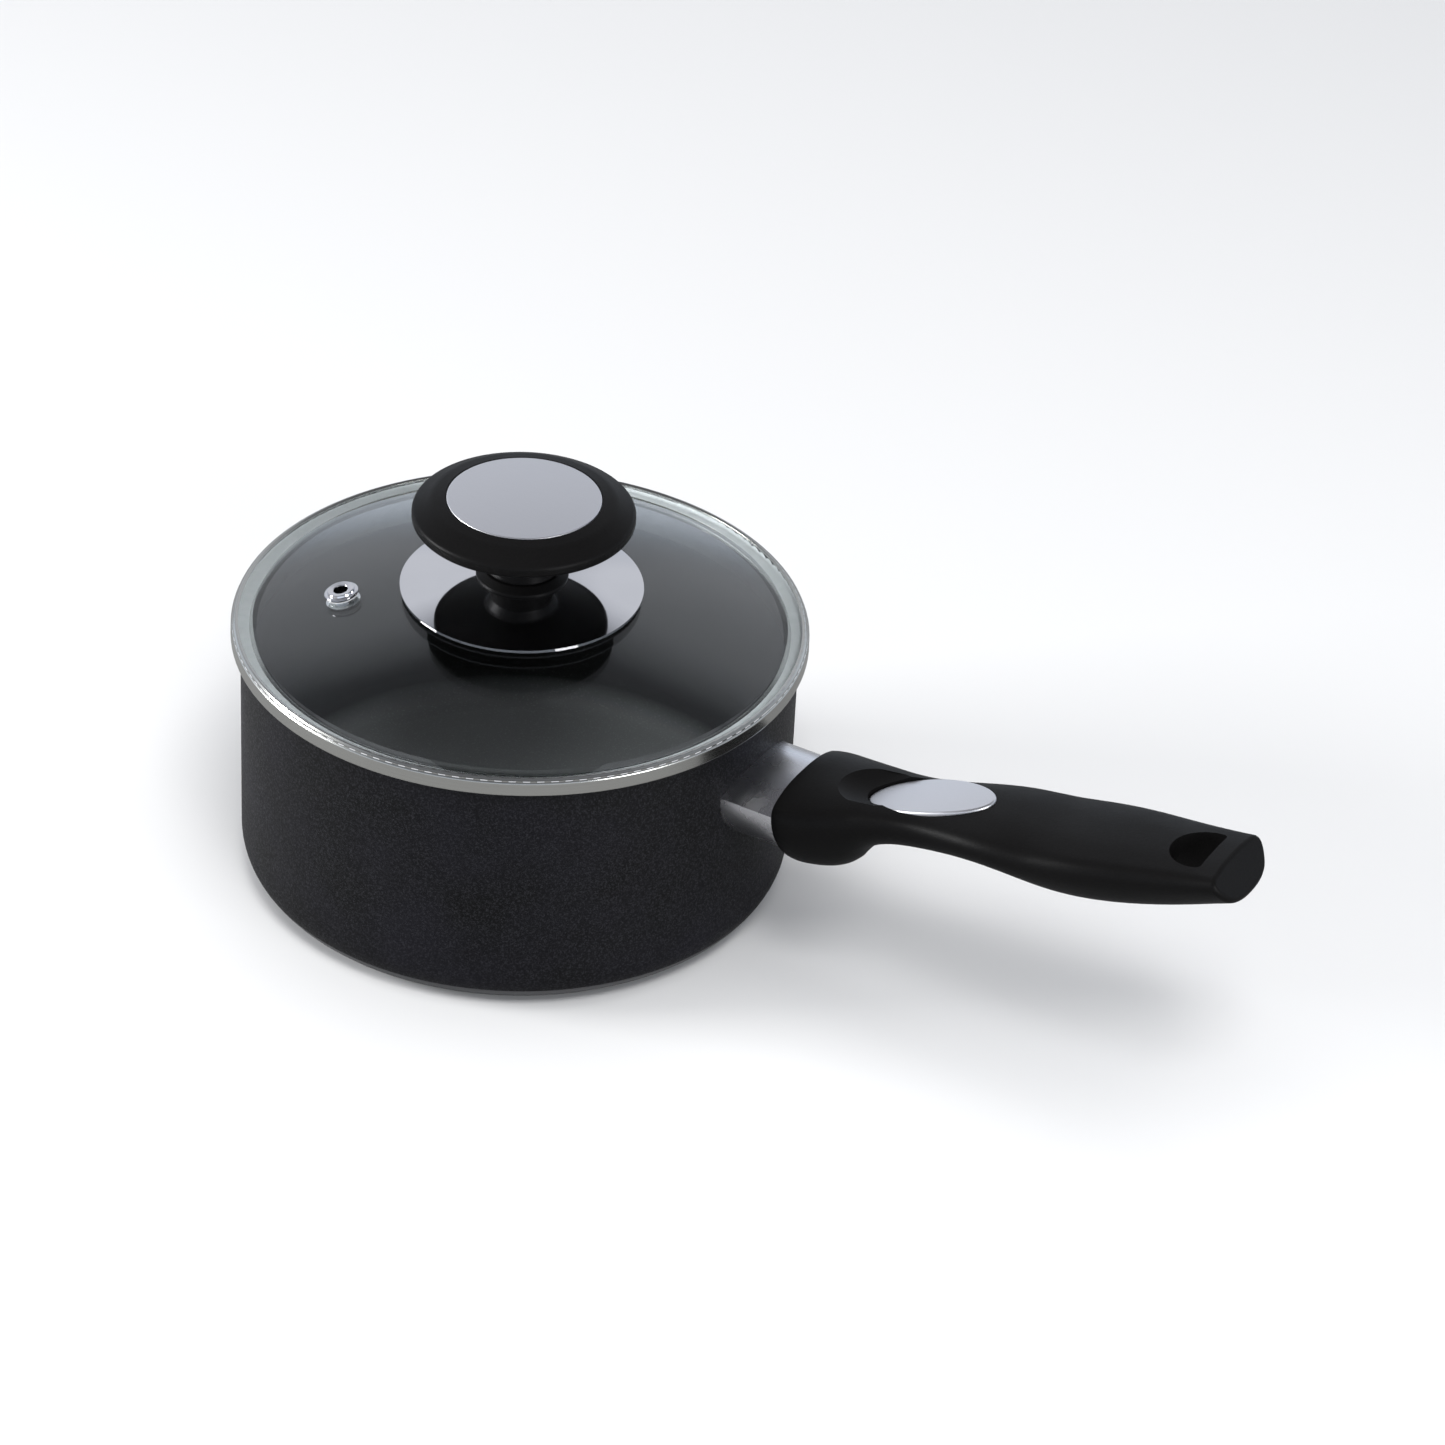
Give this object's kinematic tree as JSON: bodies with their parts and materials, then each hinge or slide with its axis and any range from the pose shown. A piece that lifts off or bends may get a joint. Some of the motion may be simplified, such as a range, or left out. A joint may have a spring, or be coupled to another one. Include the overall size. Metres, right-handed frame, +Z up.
{
  "type": "saucepan",
  "caption": "Small saucepan with a lift-off domed glass lid, steel rim ring, steam vent, round knob over a polished flange and a tilted plastic grip with a hanging hole.",
  "frame": {"origin": "centre of the pan's underside, on the surface it stands on", "axes": "+Z up along the pan's and the lid's common axis, +X from that axis along the handle"},
  "size_m": [0.3245, 0.1704, 0.1251],
  "materials": {
    "pan_coating": "dark charcoal speckled metallic coating outside, dark grey non-stick coating inside, bare rim",
    "bare_aluminium": "bare, drawn",
    "black_plastic": "fine-grained matte moulding",
    "screw_steel": "plain zinc",
    "satin_metal": "fine satin",
    "clear_glass": "clear, polished",
    "ring_steel": "rolled, semi-bright",
    "silicone": "translucent silicone",
    "polished_steel": "mirror polished",
    "brass_insert": "plain, knurled"
  },
  "bodies": {
    "pan": {"pan_body": "pan_coating", "weld_stud": "bare_aluminium", "flame_guard": "bare_aluminium", "grip": "black_plastic", "handle_screw": "screw_steel", "handle_washer": "screw_steel", "badge": "satin_metal"},
    "lid": {"lid_glass": "clear_glass", "rim_ring": "ring_steel", "ring_seal": "silicone", "vent_eyelet": "polished_steel", "vent_gasket": "silicone", "vent_washer": "polished_steel", "knob_flange": "polished_steel", "flange_spacer": "silicone", "knob_collar": "black_plastic", "knob_body": "black_plastic", "knob_disc": "satin_metal", "knob_insert": "brass_insert", "knob_seal": "silicone", "knob_washer": "screw_steel", "knob_screw": "screw_steel"}
  },
  "joints": [
    {"name": "lid_lift", "type": "slide", "parent": "pan", "child": "lid", "axis": [0, 0, 1], "range_m": [0, 0.12]}
  ]
}
